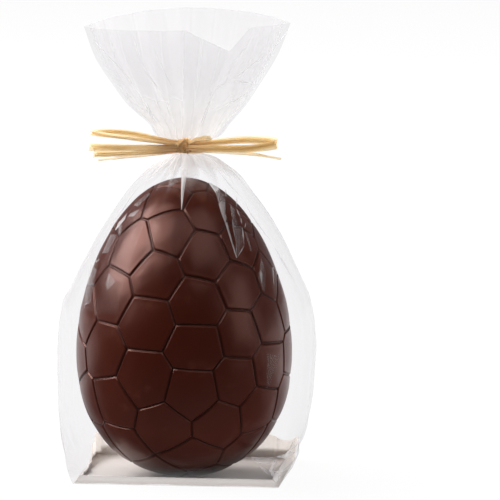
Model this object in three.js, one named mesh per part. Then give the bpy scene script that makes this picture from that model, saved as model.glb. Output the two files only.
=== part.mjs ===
// A chocolate egg in a clear block-bottomed gift bag, gathered above the egg and tied with raffia.
// Millimetres, +Z up. The origin is the middle of the bag's flat base, and the front faces -Y.
import * as THREE from 'three';

// The egg, which stands on its blunt end inside the bag and gives the film its form
const eggHeight = 120;
const eggRadius = 42.6;
const eggWidest = 51; // height of the widest ring over the egg's lowest point
const eggLift = 0.6; // card and film under the egg
const eggY = -10; // the egg stands forward of the middle of the base

// The bag
const baseWidth = 81;
const baseDepth = 66;
const baseEdge = 1.2; // rounding of the edge that the base turns up with
const filmAllowance = 1.2; // film and slack in front of the egg
const neckWidth = 10.8;
const neckDepth = 8.8;
const neckBottom = 130.6;
const neckTop = 135.2;
const neckY = -5;
const gatherFrom = 60; // from this height up the bag leans forward to its neck
const mouthCorner = 181.8; // height of the two side corners of the mouth
const mouthTilt = 1.2; // the right corner stands higher than the left
const mouthBackRise = 6; // the back edge of the mouth stands higher
const mouthFrontDrop = 1.6; // and the front edge a little lower
const mouthDepth = 17;
const pleats = 16;
const filmOnEggFrom = 30; // between these heights the film in front follows the egg
const filmOnEggTo = 110;

// The raffia
const strandGap = 0.4; // clear space between one piece of raffia and the next
const neckFolds = 0.6; // how far the gathered folds stand out of the neck under the raffia
const wrapThickness = 1;
const wrapHeight = 4;
const ribbonThickness = 0.8;
const knotCentre = new THREE.Vector3(0.4, -14.7, 134.4);
const knotSize = new THREE.Vector3(7, 5.4, 5.6);
const knotRidge = 0.1; // depth of the grooves between the knot's turns, as a share of its size
const ribbonDepth = -16.2; // the tails leave the knot in this plane

// Outlines of the filled bag as [height, reach], base to mouth. The two sides differ a little.
const leftSide = [
  [0, baseWidth / 2], [3, 43], [8, 47], [14, 49.8], [21, 51.6], [38, 52.6], [56, 52.2], [69, 50.5],
  [75, 47.2], [86, 41.9], [103, 32], [115, 23.8], [123, 16.2], [127.5, 10.4], [neckBottom, neckWidth / 2],
  [neckTop, neckWidth / 2], [136.6, 11], [142, 14.6], [150, 23.5], [158, 29.4], [169, 36.3],
  [mouthCorner, 40.9],
];
const rightSide = [
  [0, baseWidth / 2], [3, 43], [10, 44.8], [16, 47.4], [26, 49.9], [44, 51.8], [58, 51.8], [70, 50.1],
  [83, 44.8], [96, 38.9], [107, 32.6], [116, 26], [122, 21.2], [127, 14.6], [129.2, 10.8],
  [neckBottom, neckWidth / 2], [neckTop, neckWidth / 2], [136.6, 12.4], [142, 17.4], [150, 24.5], [158, 30],
  [169, 36.9], [mouthCorner, 42.2],
];
const backSide = [
  [0, baseDepth / 2], [4, 34.2], [15, 35.4], [40, 35.8], [60, 35], [75, 32.4], [90, 27.2], [103, 20.6],
  [115, 12.6], [123, 6], [128, 1.8], [neckBottom, neckDepth / 2 + neckY], [neckTop, neckDepth / 2 + neckY],
  [138, 1.6], [146, 3], [mouthCorner, mouthDepth / 2 + neckY],
];
const frontBelowEgg = [[0, baseDepth / 2], [4, 37.2], [12, 43], [filmOnEggFrom, filmOverEgg(filmOnEggFrom)]];
const frontAboveEgg = [
  [filmOnEggTo, filmOverEgg(filmOnEggTo)], [117, 25.4], [123, 18], [128, 12.4],
  [neckBottom, neckDepth / 2 - neckY], [neckTop, neckDepth / 2 - neckY], [138, 11], [146, 12.6],
  [mouthCorner, mouthDepth / 2 - neckY],
];
// Where the four upright creases run, as shares of the reach to the side and to the front or back
const creaseAcross = [
  [0, 1], [10, 0.93], [30, 0.88], [70, 0.87], [100, 0.8], [120, 0.74], [131, 0.71], [mouthCorner, 0.74],
];
const creaseForward = [
  [0, 1], [10, 0.79], [30, 0.6], [70, 0.54], [100, 0.62], [120, 0.68], [131, 0.7], [mouthCorner, 0.62],
];
const creaseBack = [
  [0, 1], [10, 0.93], [30, 0.88], [70, 0.85], [100, 0.76], [120, 0.7], [131, 0.7], [mouthCorner, 0.62],
];
// Depth of the gathered folds, and how much of it is left at the two sides
const foldDepth = [
  [0, 0], [74, 0], [90, 0.5], [108, 1.3], [122, 1.5], [131, 0.5], [138, 1], [150, 1.7], [mouthCorner, 2.3],
];
const foldAtSides = 0.3;
// How flat the front and the flanks run before they turn into a crease
const panelFullness = 0.6;
const flankFullness = 0.985;
const levels = [
  0, 1, 3.5, 8, 15, 24, 35, 46, 57, 66, 71, 76, 82, 88, 94, 100, 106, 111, 116, 120, 124, 127.5,
  neckBottom, neckTop, 136.8, 139, 142, 147, 153, 160, 168, 175, mouthCorner,
];
const pointsAround = 4 * pleats;

const film = new THREE.MeshStandardMaterial({
  color: 0xe6e4e8, roughness: 0.12, metalness: 0, transparent: true, opacity: 0.45,
});
const raffia = new THREE.MeshStandardMaterial({ color: 0xdcb47c, roughness: 0.6, metalness: 0 });

// Value of a smooth curve through [height, value] points
function along(profile, height) {
  const last = profile.length - 1;
  const low = Math.min(Math.max(profile.findIndex((point) => point[0] > height) - 1, 0), last - 1);
  const start = height >= profile[last][0] ? last - 1 : low;
  const slope = (at) => {
    const before = profile[Math.max(at - 1, 0)];
    const after = profile[Math.min(at + 1, last)];
    return (after[1] - before[1]) / (after[0] - before[0]);
  };
  const [fromHeight, from] = profile[start];
  const [toHeight, to] = profile[start + 1];
  const span = toHeight - fromHeight;
  const t = THREE.MathUtils.clamp((height - fromHeight) / span, 0, 1);
  const leave = slope(start) * span;
  const arrive = slope(start + 1) * span;
  return from + t * leave + t * t * (3 * (to - from) - 2 * leave - arrive)
    + t * t * t * (2 * (from - to) + leave + arrive);
}

// The egg's radius at a height: half an ellipse below the widest ring, a slightly pointed one above
function eggReach(height) {
  const rise = height - eggLift - eggWidest;
  const t = Math.min(Math.abs(rise) / (rise < 0 ? eggWidest : eggHeight - eggWidest), 1);
  const point = rise < 0 ? 1 : 1 - 0.2 * t * t * Math.sqrt(1 - t);
  return eggRadius * Math.sqrt(1 - t * t) * point;
}

function filmOverEgg(height) {
  return eggReach(height) - eggY + filmAllowance;
}

// How far the film stands forward: over the egg it follows it, below and above it swings away
function frontReach(height) {
  if (height < filmOnEggFrom) return Math.max(along(frontBelowEgg, height), filmOverEgg(height));
  return height < filmOnEggTo ? filmOverEgg(height) : along(frontAboveEgg, height);
}

// Point on a quadratic curve from one corner of a section to the next
function bend(from, control, to, t) {
  return from.clone().lerp(control, t).lerp(control.clone().lerp(to, t), t);
}

// One quarter of a level section, from the middle of the front or back (t 0) to the side (t 1)
function quarter(side, reach, across, towards, t) {
  const middle = new THREE.Vector2(0, reach);
  const crease = new THREE.Vector2(side * across, reach * towards);
  const flank = new THREE.Vector2(side, 0);
  if (t < 0.5) return bend(middle, new THREE.Vector2(crease.x * panelFullness, reach), crease, t * 2);
  return bend(crease, new THREE.Vector2(side * flankFullness, crease.y / 2), flank, t * 2 - 1);
}

// Point of the bag's surface. The angle runs from the front (0) over the right side (quarter turn) round.
function bagPoint(angle, height) {
  const right = Math.sin(angle) >= 0;
  const front = Math.cos(angle) >= 0;
  const fromMiddle = Math.acos(Math.min(Math.abs(Math.cos(angle)), 1)) / (Math.PI / 2);
  const centre = neckY * THREE.MathUtils.smoothstep(height, gatherFrom, neckBottom);
  const point = quarter(
    along(right ? rightSide : leftSide, height),
    front ? frontReach(height) + centre : along(backSide, height) - centre,
    along(creaseAcross, height),
    along(front ? creaseForward : creaseBack, height),
    fromMiddle,
  );
  const share = Math.max(Math.cos(angle) ** 2, foldAtSides);
  point.setLength(point.length() + along(foldDepth, height) * Math.sin(angle * pleats) * share);
  const x = right ? point.x : -point.x;
  const y = centre + (front ? -point.y : point.y);
  const plume = THREE.MathUtils.clamp((height - neckTop) / (mouthCorner - neckTop), 0, 1);
  const edge = front ? -mouthFrontDrop : mouthBackRise;
  const rise = edge * Math.cos(angle) ** 2 + mouthTilt * Math.sin(angle);
  return new THREE.Vector3(x, y, height + rise * plume);
}

// The closed outer form of the filled, tied bag
function bagForm() {
  const form = new THREE.CylinderGeometry(1, 1, levels.length - 1, pointsAround, levels.length - 1);
  const spots = form.attributes.position;
  const half = (levels.length - 1) / 2;
  for (let i = 0; i < spots.count; i += 1) {
    const level = Math.round(spots.getY(i) + half);
    const onRim = Math.hypot(spots.getX(i), spots.getZ(i)) > 0.5;
    const point = bagPoint(Math.atan2(spots.getX(i), spots.getZ(i)), levels[level]);
    if (level === 0) {
      point.x -= Math.sign(point.x) * baseEdge;
      point.y -= Math.sign(point.y) * baseEdge;
    }
    if (!onRim) point.set(0, level === 0 ? 0 : neckY, level === 0 ? 0 : mouthCorner + mouthBackRise / 3);
    spots.setXYZ(i, point.x, point.y, point.z);
  }
  return form;
}

// A ribbon of raffia: a long box bent along a curve, its width turned by the roll angle from upright
function ribbon(points, widths, roll, steps) {
  const path = new THREE.CatmullRomCurve3(points.map((point) => new THREE.Vector3(...point)));
  const body = new THREE.BoxGeometry(1, 1, 1, steps, 1, 1);
  const spots = body.attributes.position;
  for (let i = 0; i < spots.count; i += 1) {
    const t = spots.getX(i) + 0.5;
    const heading = path.getTangent(t);
    const face = new THREE.Vector3(0, 0, 1).applyAxisAngle(heading, roll).cross(heading).normalize();
    const width = heading.clone().cross(face).normalize();
    const place = path.getPoint(t)
      .addScaledVector(face, spots.getY(i) * ribbonThickness)
      .addScaledVector(width, spots.getZ(i) * along(widths, t));
    spots.setXYZ(i, place.x, place.y, place.z);
  }
  return body;
}

// The turns round the neck, as one ring that lies on the gathered film
function wrapForm() {
  const outline = new THREE.Shape();
  const clear = neckFolds + strandGap;
  const inside = new THREE.Vector2(neckWidth / 2 + clear, neckDepth / 2 + clear);
  outline.absellipse(0, 0, inside.x + wrapThickness, inside.y + wrapThickness, 0, Math.PI * 2);
  outline.holes.push(new THREE.Path().absellipse(0, 0, inside.x, inside.y, 0, Math.PI * 2));
  const settings = { depth: wrapHeight, bevelEnabled: false, curveSegments: 20 };
  const ring = new THREE.ExtrudeGeometry(outline, settings);
  ring.translate(0, 0, -wrapHeight / 2);
  return ring;
}

// The knot: a rounded lump with the turns of the raffia as ridges across it
function knotForm() {
  const lump = new THREE.SphereGeometry(0.5, 24, 14);
  const spots = lump.attributes.position;
  const point = new THREE.Vector3();
  for (let i = 0; i < spots.count; i += 1) {
    point.fromBufferAttribute(spots, i);
    const ridge = (1 + Math.cos(3 * Math.PI * (point.x + point.z))) / 2;
    point.multiplyScalar(1 - knotRidge * ridge).multiply(knotSize);
    spots.setXYZ(i, point.x, point.y, point.z);
  }
  return lump;
}

const part = new THREE.Group();

function add(name, geometry, material, parent) {
  const piece = new THREE.Mesh(geometry, material);
  piece.name = name;
  parent.add(piece);
  return piece;
}

add('bag', bagForm(), film, part);

// The bow: everything in it hangs from the wrap and the knot
const bow = new THREE.Group();
part.add(bow);
add('raffia_wrap', wrapForm(), raffia, bow).position.set(0, neckY, (neckBottom + neckTop) / 2);
add('raffia_knot', knotForm(), raffia, bow).position.copy(knotCentre);

const knotLeft = knotCentre.x - knotSize.x / 2 - strandGap;
const knotRight = knotCentre.x + knotSize.x / 2 + strandGap;

// Loops, each one band that goes out and comes back behind itself
add('raffia_loop_right', ribbon([
  [knotRight, -16.6, 134.4], [14, -19.2, 134.9], [26, -21, 135.5], [34, -20.6, 136], [38, -18, 136.2],
  [34, -15.6, 136.3], [25, -14.8, 136], [14, -14.4, 135.2], [knotRight, -14.6, 134.5],
], [[0, 2.4], [0.25, 4.4], [0.5, 5.4], [0.75, 4.4], [1, 2.4]], 0, 40), raffia, bow);
add('raffia_loop_left', ribbon([
  [knotLeft, -15.9, 135.6], [-12, -18, 136.8], [-24, -19.6, 138.1], [-32, -19.2, 139], [-36, -17.4, 139.1],
  [-32, -15.8, 139], [-23, -15.2, 138.2], [-12, -14.6, 137], [knotLeft, -14.2, 135.8],
], [[0, 1.4], [0.25, 3], [0.5, 3], [0.75, 3], [1, 1.4]], 0.1, 40), raffia, bow);

// Tails and loose strands, which end in plain cuts
add('raffia_tail_left_upper', ribbon([
  [knotLeft, ribbonDepth, 133.9], [-14, ribbonDepth - 1, 133.9], [-27, ribbonDepth - 1.2, 133.7],
  [-37.1, ribbonDepth, 133.5],
], [[0, 1], [0.3, 2.4], [1, 3.4]], 0.15, 16), raffia, bow);
add('raffia_tail_left_lower', ribbon([
  [knotLeft, ribbonDepth + 1, 132.7], [-13, ribbonDepth + 0.6, 131.7], [-26, ribbonDepth, 131],
  [-35.7, ribbonDepth + 1, 130.4],
], [[0, 0.7], [0.3, 1.5], [1, 2]], -0.1, 16), raffia, bow);
add('raffia_strand_left', ribbon([
  [knotLeft, ribbonDepth + 2.4, 131.9], [-14, ribbonDepth + 1.8, 130.1], [-25, ribbonDepth + 1.4, 129.1],
  [-34, ribbonDepth + 1.8, 128.1],
], [[0, 0.8], [1, 0.9]], 0, 14), raffia, bow);
add('raffia_strand_right', ribbon([
  [knotRight, ribbonDepth + 2, 132.4], [14, ribbonDepth + 1.2, 131.8], [25, ribbonDepth + 0.4, 131.4],
  [33, ribbonDepth + 0.6, 130.7], [39.6, ribbonDepth + 1, 129.8],
], [[0, 0.8], [1, 0.9]], 0, 16), raffia, bow);
add('raffia_curl', ribbon([
  [knotRight - 0.2, -16.4, 136.6], [5.6, -17, 138], [8.4, -16.8, 139], [11.2, -16.4, 138.4],
  [12.4, -16, 137.8],
], [[0, 0.8], [1, 0.8]], 0, 14), raffia, bow);

export default part;
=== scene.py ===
# A dark chocolate egg in a clear gift bag tied with raffia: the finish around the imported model.
# Forms are made in millimetres, +Z up with the front at -Y, and each mesh is scaled to metres at its end.
import math
from functools import lru_cache

import bmesh
import bpy
from mathutils import Euler, Matrix, Vector, noise


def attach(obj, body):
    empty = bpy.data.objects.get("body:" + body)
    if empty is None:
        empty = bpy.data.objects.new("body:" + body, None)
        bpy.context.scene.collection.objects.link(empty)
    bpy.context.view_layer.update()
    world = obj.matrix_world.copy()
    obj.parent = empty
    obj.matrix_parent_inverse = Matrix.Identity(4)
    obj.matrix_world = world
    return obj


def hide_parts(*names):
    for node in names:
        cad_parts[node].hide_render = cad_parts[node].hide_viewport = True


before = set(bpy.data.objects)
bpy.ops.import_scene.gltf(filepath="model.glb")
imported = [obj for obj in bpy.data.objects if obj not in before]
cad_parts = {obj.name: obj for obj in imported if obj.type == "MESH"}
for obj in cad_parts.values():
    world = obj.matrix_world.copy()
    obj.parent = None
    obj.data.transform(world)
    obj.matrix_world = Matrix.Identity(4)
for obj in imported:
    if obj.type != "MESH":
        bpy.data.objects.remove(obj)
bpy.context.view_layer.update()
mm = 0.001


# A shader socket that takes part in sums, products and powers
class Wire:
    def __init__(self, finish, socket):
        self.finish = finish
        self.socket = socket

    def maths(self, operation, first, second=0):
        return self.finish.node("ShaderNodeMath", {"operation": operation}, {0: first, 1: second})

    def __add__(self, other):
        return self.maths("ADD", self, other)

    def __sub__(self, other):
        return self.maths("SUBTRACT", self, other)

    def __rsub__(self, other):
        return self.maths("SUBTRACT", other, self)

    def __mul__(self, other):
        return self.maths("MULTIPLY", self, other)

    def __pow__(self, other):
        return self.maths("POWER", self, other)

    def __abs__(self):
        return self.maths("ABSOLUTE", self)

    __radd__ = __add__
    __rmul__ = __mul__


# A material or a world that is built node by node
class Finish:
    def __init__(self, owner):
        owner.use_nodes = True
        self.owner = owner
        self.nodes = owner.node_tree.nodes
        self.links = owner.node_tree.links
        self.nodes.clear()

    def feed(self, socket, value):
        if isinstance(value, Wire):
            self.links.new(value.socket, socket)
        else:
            socket.default_value = value

    def node(self, kind, settings, sockets, output=0):
        made = self.nodes.new(kind)
        for name, value in settings.items():
            if name == "stops":
                self.setStops(made.color_ramp, value)
            else:
                setattr(made, name, value)
        for name, value in sockets.items():
            self.feed(made.inputs[name], value)
        return Wire(self, made.outputs[output]) if made.outputs else None

    def setStops(self, ramp, stops):
        while len(ramp.elements) < len(stops):
            ramp.elements.new(0.5)
        for element, (place, shade) in zip(ramp.elements, stops):
            element.position = place
            element.color = (*shade, 1) if isinstance(shade, tuple) else (shade, shade, shade, 1)

    def place(self, stretch=(1, 1, 1), source="Object"):
        coordinates = self.node("ShaderNodeTexCoord", {}, {}, source)
        return self.node("ShaderNodeMapping", {}, {"Vector": coordinates, "Scale": stretch})

    def axis(self, name):
        return self.node("ShaderNodeSeparateXYZ", {}, {0: self.place()}, name)

    # Goes from low to high while the value goes through the span
    def graded(self, value, span, low=0, high=1, curve="LINEAR"):
        start, end = span
        sockets = {"Value": value, "From Min": start, "From Max": end, "To Min": low, "To Max": high}
        return self.node("ShaderNodeMapRange", {"interpolation_type": curve}, sockets)

    def larger(self, first, second):
        return first.maths("MAXIMUM", first, second)

    def noise(self, place, scale, detail=3, roughness=0.5):
        sockets = {"Vector": place, "Scale": scale, "Detail": detail, "Roughness": roughness}
        return self.node("ShaderNodeTexNoise", {}, sockets, "Fac")

    def ramp(self, value, stops, output="Color"):
        return self.node("ShaderNodeValToRGB", {"stops": stops}, {"Fac": value}, output)

    def mixColours(self, factor, first, second):
        sockets = {0: factor, 6: self.colour(first), 7: self.colour(second)}
        return self.node("ShaderNodeMix", {"data_type": "RGBA"}, sockets, 2)

    def colour(self, value):
        return (*value, 1) if isinstance(value, tuple) else value

    def bump(self, height, strength, distance):
        return self.node("ShaderNodeBump", {}, {"Height": height, "Strength": strength, "Distance": distance})

    def attribute(self, name):
        return self.node("ShaderNodeAttribute", {"attribute_name": name}, {}, "Fac")

    def mixShaders(self, factor, first, second):
        return self.node("ShaderNodeMixShader", {}, {0: factor, 1: first, 2: second})

    def finish(self, shader, output="ShaderNodeOutputMaterial"):
        self.node(output, {}, {"Surface": shader})
        return self.owner


def metres(span):
    return [place * mm for place in span]


def smoothStep(value, low, high):
    t = min(max((value - low) / (high - low), 0), 1)
    return t * t * (3 - 2 * t)


# Rises from 0 to 1 between the first two levels and falls again between the last two
def plateau(value, foot, top, edge, end):
    return smoothStep(value, foot, top) * smoothStep(value, end, edge)


def mixed(first, second, share):
    return first + (second - first) * share


# Turns a finished bmesh in millimetres into an object in metres that rides on the part's one body
def makePiece(name, form, material, replaces, smooth=True):
    bmesh.ops.scale(form, vec=(mm, mm, mm), verts=form.verts)
    mesh = bpy.data.meshes.new(name)
    form.to_mesh(mesh)
    form.free()
    mesh.polygons.foreach_set("use_smooth", [smooth] * len(mesh.polygons))
    mesh.materials.append(material)
    piece = bpy.data.objects.new(name, mesh)
    bpy.context.scene.collection.objects.link(piece)
    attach(piece, "root")
    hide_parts(replaces)
    print(f"{name}: {len(mesh.polygons)} faces")
    return piece


# The egg: an ellipsoid with a slightly pointed top, cut into plates by a net of grooves
egg = {
    "height": 120,
    "radius": 43,
    "widest": 51,
    "blunt": 2.4,  # how square the lower half is; 2 is an ellipse
    "topPinch": 0.2,  # how much narrower than an ellipse the top is
    "lift": 0.6,
    "y": -10,
    "eye": 55,  # height of the point that the plates are laid out round
    "eyeToShell": (20, 90),  # the shell is everywhere between these distances from it
    "halvings": 22,
    "plates": [  # (degrees round from the front, height) of the middle of each plate
        (-33, 95.5), (-4, 103), (-41, 77.5), (-12, 86.5), (23, 94.5), (15, 75.5), (-14, 68.5), (-43, 55),
        (44, 81.5), (14, 59), (40, 62.5), (61, 67), (-15, 45), (12, 39.5), (37, 44), (59, 48), (-37, 33),
        (-5, 24.5), (28, 26), (54, 31.5), (-18, 115), (-68, 109), (33, 109.5), (69, 108), (55, 97.5),
        (73, 83), (-40, 16.5), (13, 12), (59, 13.5), (-72, 92), (-66, 66), (-74, 51), (-62, 31), (90, 49),
        (88, 72), (92, 92), (86, 34), (-85, 24), (-64, 16), (-22, 4), (80, 14), (0, 120), (40, 2),
        (-100, 104), (130, 110), (-105, 80), (-108, 58), (-108, 38), (116, 82), (118, 60), (118, 42),
        (116, 22), (-112, 16), (141, 93), (139, 71), (140, 50), (141, 31), (138, 10), (163, 81), (161, 60),
        (163, 40), (161, 20), (-174, 94), (-176, 71), (-175, 49), (-177, 30), (-174, 8), (-152, 82),
        (-154, 60), (-152, 39), (-154, 20), (-131, 92), (-130, 70), (-132, 49), (-130, 28), (-133, 9),
        (85, 112), (-130, 112), (-60, 0),
    ],
    "shortestEdge": 2.4,
    "grooveDepth": 0.5,
    "rings": [  # how far in from the groove's middle, and lift
        (0.14, -0.5), (0.28, -0.42), (0.42, -0.28), (0.56, -0.12), (0.68, 0), (0.84, 0.05), (1.3, 0.02),
    ],
    "alongEdge": 6,
    "inwards": [0.84, 0.66, 0.46, 0.24],
    "dome": 0.3,
}


def eggReach(height):
    rise = height - egg["lift"] - egg["widest"]
    if rise < 0:
        return egg["radius"] * math.sqrt(1 - min(-rise / egg["widest"], 1) ** egg["blunt"])
    t = min(rise / (egg["height"] - egg["widest"]), 1)
    return egg["radius"] * math.sqrt(1 - t * t) * (1 - egg["topPinch"] * t * t * math.sqrt(1 - t))


eggEye = Vector((0, egg["y"], egg["lift"] + egg["eye"]))


def insideEgg(spot):
    if not egg["lift"] <= spot.z <= egg["lift"] + egg["height"]:
        return False
    return math.hypot(spot.x, spot.y - egg["y"]) < eggReach(spot.z)


# Where a ray from the eye meets the shell
def shellSpot(heading):
    low, high = egg["eyeToShell"]
    for _ in range(egg["halvings"]):
        middle = (low + high) / 2
        if insideEgg(eggEye + heading * middle):
            low = middle
        else:
            high = middle
    return eggEye + heading * low


def shellNormal(spot):
    step, margin = 0.4, 0.05
    top = egg["lift"] + egg["height"] - margin
    above = min(spot.z + step, top)
    below = max(min(spot.z - step, top - step), egg["lift"] + margin)
    lean = (eggReach(above) - eggReach(below)) / (above - below)
    out = Vector((spot.x, spot.y - egg["y"], 0))
    return Vector((out.x, out.y, -lean * max(out.length, 1e-6))).normalized()


def plateHeading(azimuth, height):
    angle, margin = math.radians(azimuth), 0.3
    reach = eggReach(min(max(height, margin), egg["height"] - margin) + egg["lift"])
    return Vector((reach * math.sin(angle), -reach * math.cos(angle), height - egg["eye"])).normalized()


# The plates as flat faces: each corner is where three neighbouring plates are equally far
def plateNet():
    hull = bmesh.new()
    for azimuth, height in egg["plates"]:
        hull.verts.new(plateHeading(azimuth, height))
    bmesh.ops.convex_hull(hull, input=hull.verts)
    hull.normal_update()
    net = bmesh.new()
    corners = {face: net.verts.new(shellSpot(face.normal)) for face in hull.faces}
    for middle in hull.verts:
        side = middle.co.orthogonal().normalized()
        other = middle.co.cross(side)
        ring = sorted(
            middle.link_faces,
            key=lambda face: math.atan2(face.normal.dot(other), face.normal.dot(side)),
        )
        net.faces.new([corners[face] for face in ring])
    hull.free()
    bmesh.ops.remove_doubles(net, verts=net.verts, dist=egg["shortestEdge"])
    return net


def eggForm():
    form = plateNet()
    lift = form.verts.layers.float.new("lift")
    groove = form.verts.layers.float.new("groove")
    plates = list(form.faces)
    for corner in form.verts:
        corner[lift] = -egg["grooveDepth"]
        corner[groove] = 1
    reached = 0
    for inward, height in egg["rings"]:
        bmesh.ops.inset_individual(form, faces=plates, thickness=inward - reached, use_even_offset=True)
        reached = inward
        for corner in {corner for plate in plates for corner in plate.verts}:
            corner[lift] = height
            corner[groove] = max(-height / egg["grooveDepth"], 0)
    borders = [edge for edge in form.edges if abs(edge.verts[0][lift] - edge.verts[1][lift]) < 0.001]
    bmesh.ops.subdivide_edges(form, edges=borders, cuts=egg["alongEdge"] - 1, use_grid_fill=True)
    edgeLift = egg["rings"][-1][1]
    for plate in plates:
        middle = plate.calc_center_median()
        rim = [corner.co - middle for corner in plate.verts]
        for share in egg["inwards"]:
            bmesh.ops.inset_individual(form, faces=[plate], thickness=0)
            for corner, reach in zip(plate.verts, rim):
                corner.co = middle + reach * share
                corner[lift] = edgeLift + egg["dome"] * (1 - share ** 2)
                corner[groove] = 0
    hubs = bmesh.ops.poke(form, faces=plates)["verts"]
    for hub in hubs:
        hub[lift] = edgeLift + egg["dome"]
        hub[groove] = 0
    for corner in form.verts:
        spot = shellSpot((corner.co - eggEye).normalized())
        corner.co = spot + shellNormal(spot) * corner[lift]
    bmesh.ops.recalc_face_normals(form, faces=form.faces)
    return form


chocolate = {
    "dark": (0.05, 0.007, 0.003),
    "light": (0.07, 0.0115, 0.0058),
    "smudge": (0.11, 0.03, 0.018),
    "smudged": 0.4,
    # painted shade: the chocolate is painted darker towards the bottom, where the egg stands on the card
    "paintedBaseShade": (0.012, 0.002, 0.001),
    "paintedBaseShadeHeights": (24, 6),  # from plain to darkest
    "paintedBaseShadeDarkest": 0.78,
    # painted shade in the grooves: the base colour darkens with the groove's depth
    "groove": (0.014, 0.0022, 0.0012),
    "paintedGrooveShadeDarkest": 0.75,
    "roughness": 0.24,
    "sheen": (1, 0.54, 0.44, 1),
    "relief": 0.04,
}


def chocolateFinish():
    finish = Finish(bpy.data.materials.new("dark_chocolate"))
    place = finish.place()
    cloud = finish.noise(place, 55, 3, 0.6)
    grain = finish.noise(place, 900, 2, 0.6)
    smear = finish.noise(finish.place((1, 1, 0.25)), 260, 3, 0.6)
    smudge = finish.ramp(finish.noise(place, 85, 3, 0.55), [(0.6, 0), (0.7, 1)])
    groove = finish.attribute("groove")
    even = finish.mixColours(cloud, chocolate["dark"], chocolate["light"])
    plain = finish.mixColours(smudge * chocolate["smudged"], even, chocolate["smudge"])
    # painted shade near the base: the base colour darkens towards the bottom of the egg
    heights = metres(chocolate["paintedBaseShadeHeights"])
    low = finish.graded(finish.axis("Z"), heights, 0, chocolate["paintedBaseShadeDarkest"])
    withPaintedBaseShade = finish.mixColours(low, plain, chocolate["paintedBaseShade"])
    # painted shade: the depth of each groove darkens the base colour
    shade = finish.mixColours(groove ** 2 * chocolate["paintedGrooveShadeDarkest"], withPaintedBaseShade, chocolate["groove"])
    gloss = chocolate["roughness"] + 0.08 * cloud + 0.05 * smear + 0.1 * groove
    relief = finish.bump(grain * 0.1 + smear * 0.9, 0.05, chocolate["relief"] * mm)
    return finish.finish(finish.node("ShaderNodeBsdfPrincipled", {}, {
        "Base Color": shade, "Roughness": gloss, "Specular IOR Level": 0.75,
        "Specular Tint": chocolate["sheen"], "Normal": relief,
    }))


makePiece("egg", eggForm(), chocolateFinish(), "bag")


# The film: a block-bottomed bag gathered above the egg. Outlines are (height, reach), base to mouth.
bag = {
    "onEgg": (30, 110),  # heights between which the front lies on the egg
    "allowance": 1.2,  # how far it lies off the egg there
    "neckBottom": 130.6,
    "neckTop": 135.2,
    "neckY": -5,
    "mouthCorner": 181.8,
    "mouthTilt": 1.2,
    "mouthBackRise": 6,
    "mouthFrontDrop": 1.6,
    "leanFrom": 60,  # height from which the middle leans towards the neck
    "leftSide": [
        (0, 42), (3, 44.2), (8, 47.4), (14, 49.8), (21, 51.6), (38, 52.6), (56, 52.2), (69, 50.5),
        (75, 47.2), (86, 41.9), (103, 32), (115, 23.8), (123, 16.2), (127.5, 10.4), (130.6, 5.4),
        (135.2, 5.4), (136.6, 11), (142, 14.6), (150, 23.5), (158, 29.4), (169, 36.3), (181.8, 40.9),
    ],
    "rightSide": [
        (0, 40.5), (3, 43), (10, 44.8), (16, 47.4), (26, 49.9), (44, 51.8), (58, 51.8), (70, 50.1),
        (83, 44.8), (96, 38.9), (107, 32.6), (116, 26), (122, 21.2), (127, 14.6), (129.2, 10.8),
        (130.6, 5.4), (135.2, 5.4), (136.6, 12.4), (142, 17.4), (150, 24.5), (158, 30), (169, 36.9),
        (181.8, 42.2),
    ],
    "backSide": [
        (0, 33), (4, 34.2), (15, 35.4), (40, 35.8), (60, 35), (75, 32.4), (90, 27.2), (103, 20.6),
        (115, 12.6), (123, 6), (128, 1.8), (130.6, -0.6), (135.2, -0.6), (138, 1.6), (146, 3), (181.8, 3.5),
    ],
    "frontBelowEgg": [(0, 33), (4, 37.2), (12, 43)],
    "frontAboveEgg": [
        (117, 25.4), (123, 18), (128, 12.4), (130.6, 9.4), (135.2, 9.4), (138, 11), (146, 12.6),
        (181.8, 13.5),
    ],
    "creaseAcross": [
        (0, 1), (10, 0.93), (30, 0.88), (70, 0.87), (100, 0.8), (120, 0.74), (131, 0.71), (181.8, 0.74),
    ],
    "creaseForward": [
        (0, 1), (10, 0.79), (30, 0.6), (70, 0.54), (100, 0.62), (120, 0.68), (131, 0.7), (181.8, 0.62),
    ],
    "creaseBack": [
        (0, 1), (10, 0.93), (30, 0.88), (70, 0.85), (100, 0.76), (120, 0.7), (131, 0.7), (181.8, 0.62),
    ],
    "foldDepth": [
        (0, 0), (74, 0), (90, 0.5), (108, 1.3), (122, 1.5), (131, 0.5), (138, 1), (150, 1.3), (181.8, 1.3),
    ],
    "flatFront": 0.6,
    "flatSide": 0.985,
    "columns": 380,
    "rows": 250,
    "frontShare": 0.42,  # how much closer the columns stand at the front
    "clearOfEgg": 0.6,
    "floor": 0.15,  # height of the film's base over the ground
    "pleatsAtSides": {"below": 0.3, "above": 0.1},  # least share of the pleats' depth, seen from the tie
    "dip": {"x": 18.6, "depth": 9, "left": 17, "right": 8},  # where the front edge of the mouth folds down
}


def overEgg(height):
    return eggReach(height) - egg["y"] + bag["allowance"]


foot, shoulder = bag["onEgg"]
bag["frontBelowEgg"].append((foot, overEgg(foot)))
bag["frontAboveEgg"].insert(0, (shoulder, overEgg(shoulder)))


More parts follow.
